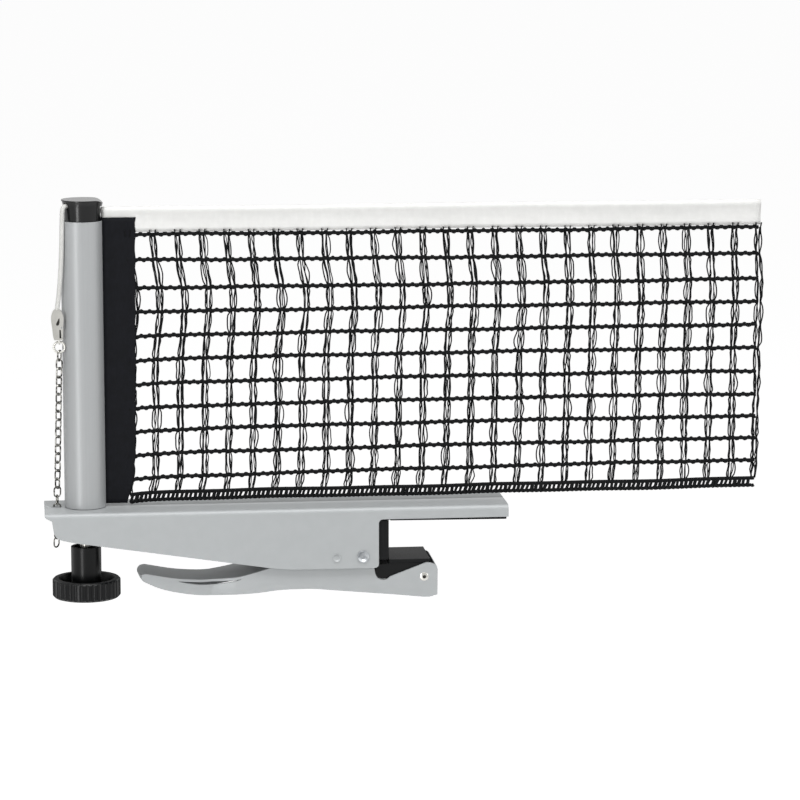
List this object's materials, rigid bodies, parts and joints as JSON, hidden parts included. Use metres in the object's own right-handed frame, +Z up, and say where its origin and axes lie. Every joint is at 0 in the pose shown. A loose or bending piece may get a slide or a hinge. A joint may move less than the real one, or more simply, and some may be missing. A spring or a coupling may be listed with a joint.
{
  "type": "table tennis net clamp",
  "caption": "Clip-on table tennis net clamp: steel arm with sprung lever jaw, round post with height knob, tension chain and the end of the net in its tape, sleeve and hem.",
  "frame": {"origin": "on the table's playing surface, where the table's edge meets the stop pad, midway across the arm", "axes": "+X along the net over the table, +Z up, +Y across the net"},
  "size_m": [0.3502, 0.038, 0.1946],
  "materials": {
    "silver_paint": "satin silver-grey stoving paint on folded steel sheet",
    "post_silver": "satin silver coated tube",
    "bright_steel": "bright zinc and nickel plated steel",
    "spring_steel": "dull zinc plated spring steel",
    "bush_brass": "turned brass",
    "black_plastic": "moulded, fine satin grain",
    "cap_plastic": "moulded, charcoal, semi-gloss top",
    "black_rubber": "moulded matt rubber",
    "net_black": "knitted twisted yarn",
    "sleeve_black": "woven pocket cloth",
    "tape_white": "woven cotton tape",
    "cord_white": "braided cord"
  },
  "bodies": {
    "arm": {"arm_channel": "silver_paint", "top_liner": "black_rubber", "stop_pad": "black_rubber", "pivot_rivet": "bright_steel", "pivot_spacer": "spring_steel", "stop_rivet": "silver_paint", "torsion_spring": "spring_steel", "screw_bush": "bush_brass", "tension_cord": "cord_white", "clasp_body": "bright_steel", "gate_pin": "spring_steel", "clasp_ring": "bright_steel"},
    "lever": {"lever": "silver_paint", "jaw_pin": "bright_steel"},
    "pad": {"pad_carrier": "black_plastic", "pad_grip": "black_rubber"},
    "knob": {"height_knob": "black_plastic", "height_screw": "bright_steel", "knob_nut": "bright_steel", "screw_clip": "spring_steel"},
    "post": {"post_tube": "post_silver", "post_plug": "spring_steel", "post_cap": "cap_plastic", "net_rod": "black_plastic", "net_sleeve": "sleeve_black", "top_tape": "tape_white", "net_cord": "cord_white", "net_mesh": "net_black", "bottom_hem": "net_black"},
    "gate": {"clasp_gate": "bright_steel"},
    "chain": {"tension_chain": "bright_steel"}
  },
  "joints": [
    {"name": "lever_squeeze", "type": "hinge", "parent": "arm", "child": "lever", "pos_m": [-0.0127, 0, -0.0174], "axis": [0, 1, 0], "range_deg": [-5, 14], "stiffness_Nm_per_rad": 8, "deforming": ["torsion_spring"]},
    {"name": "pad_swivel", "type": "hinge", "parent": "lever", "child": "pad", "pos_m": [0.0174, 0, -0.0285], "axis": [0, 1, 0], "range_deg": [0, 4]},
    {"name": "knob_turn", "type": "hinge", "parent": "arm", "child": "knob", "pos_m": [-0.146, 0, 0], "axis": [0, 0, -1], "range_deg": [0, 2160]},
    {"name": "post_lift", "type": "slide", "parent": "arm", "child": "post", "axis": [0, 0, 1], "range_m": [0, 0.006]},
    {"name": "gate_open", "type": "hinge", "parent": "arm", "child": "gate", "pos_m": [-0.1561, -0.0063, 0.0953], "axis": [0, 1, 0], "range_deg": [0, 15], "stiffness_Nm_per_rad": 0.002},
    {"name": "chain_swing", "type": "hinge", "parent": "arm", "child": "chain", "pos_m": [-0.1574, -0.0063, 0.0857], "axis": [0, 1, 0], "range_deg": [0, 35]}
  ],
  "couplings": [
    {"joint": "knob_turn", "follows": "post_lift", "rad_per_m": 6283.2}
  ]
}
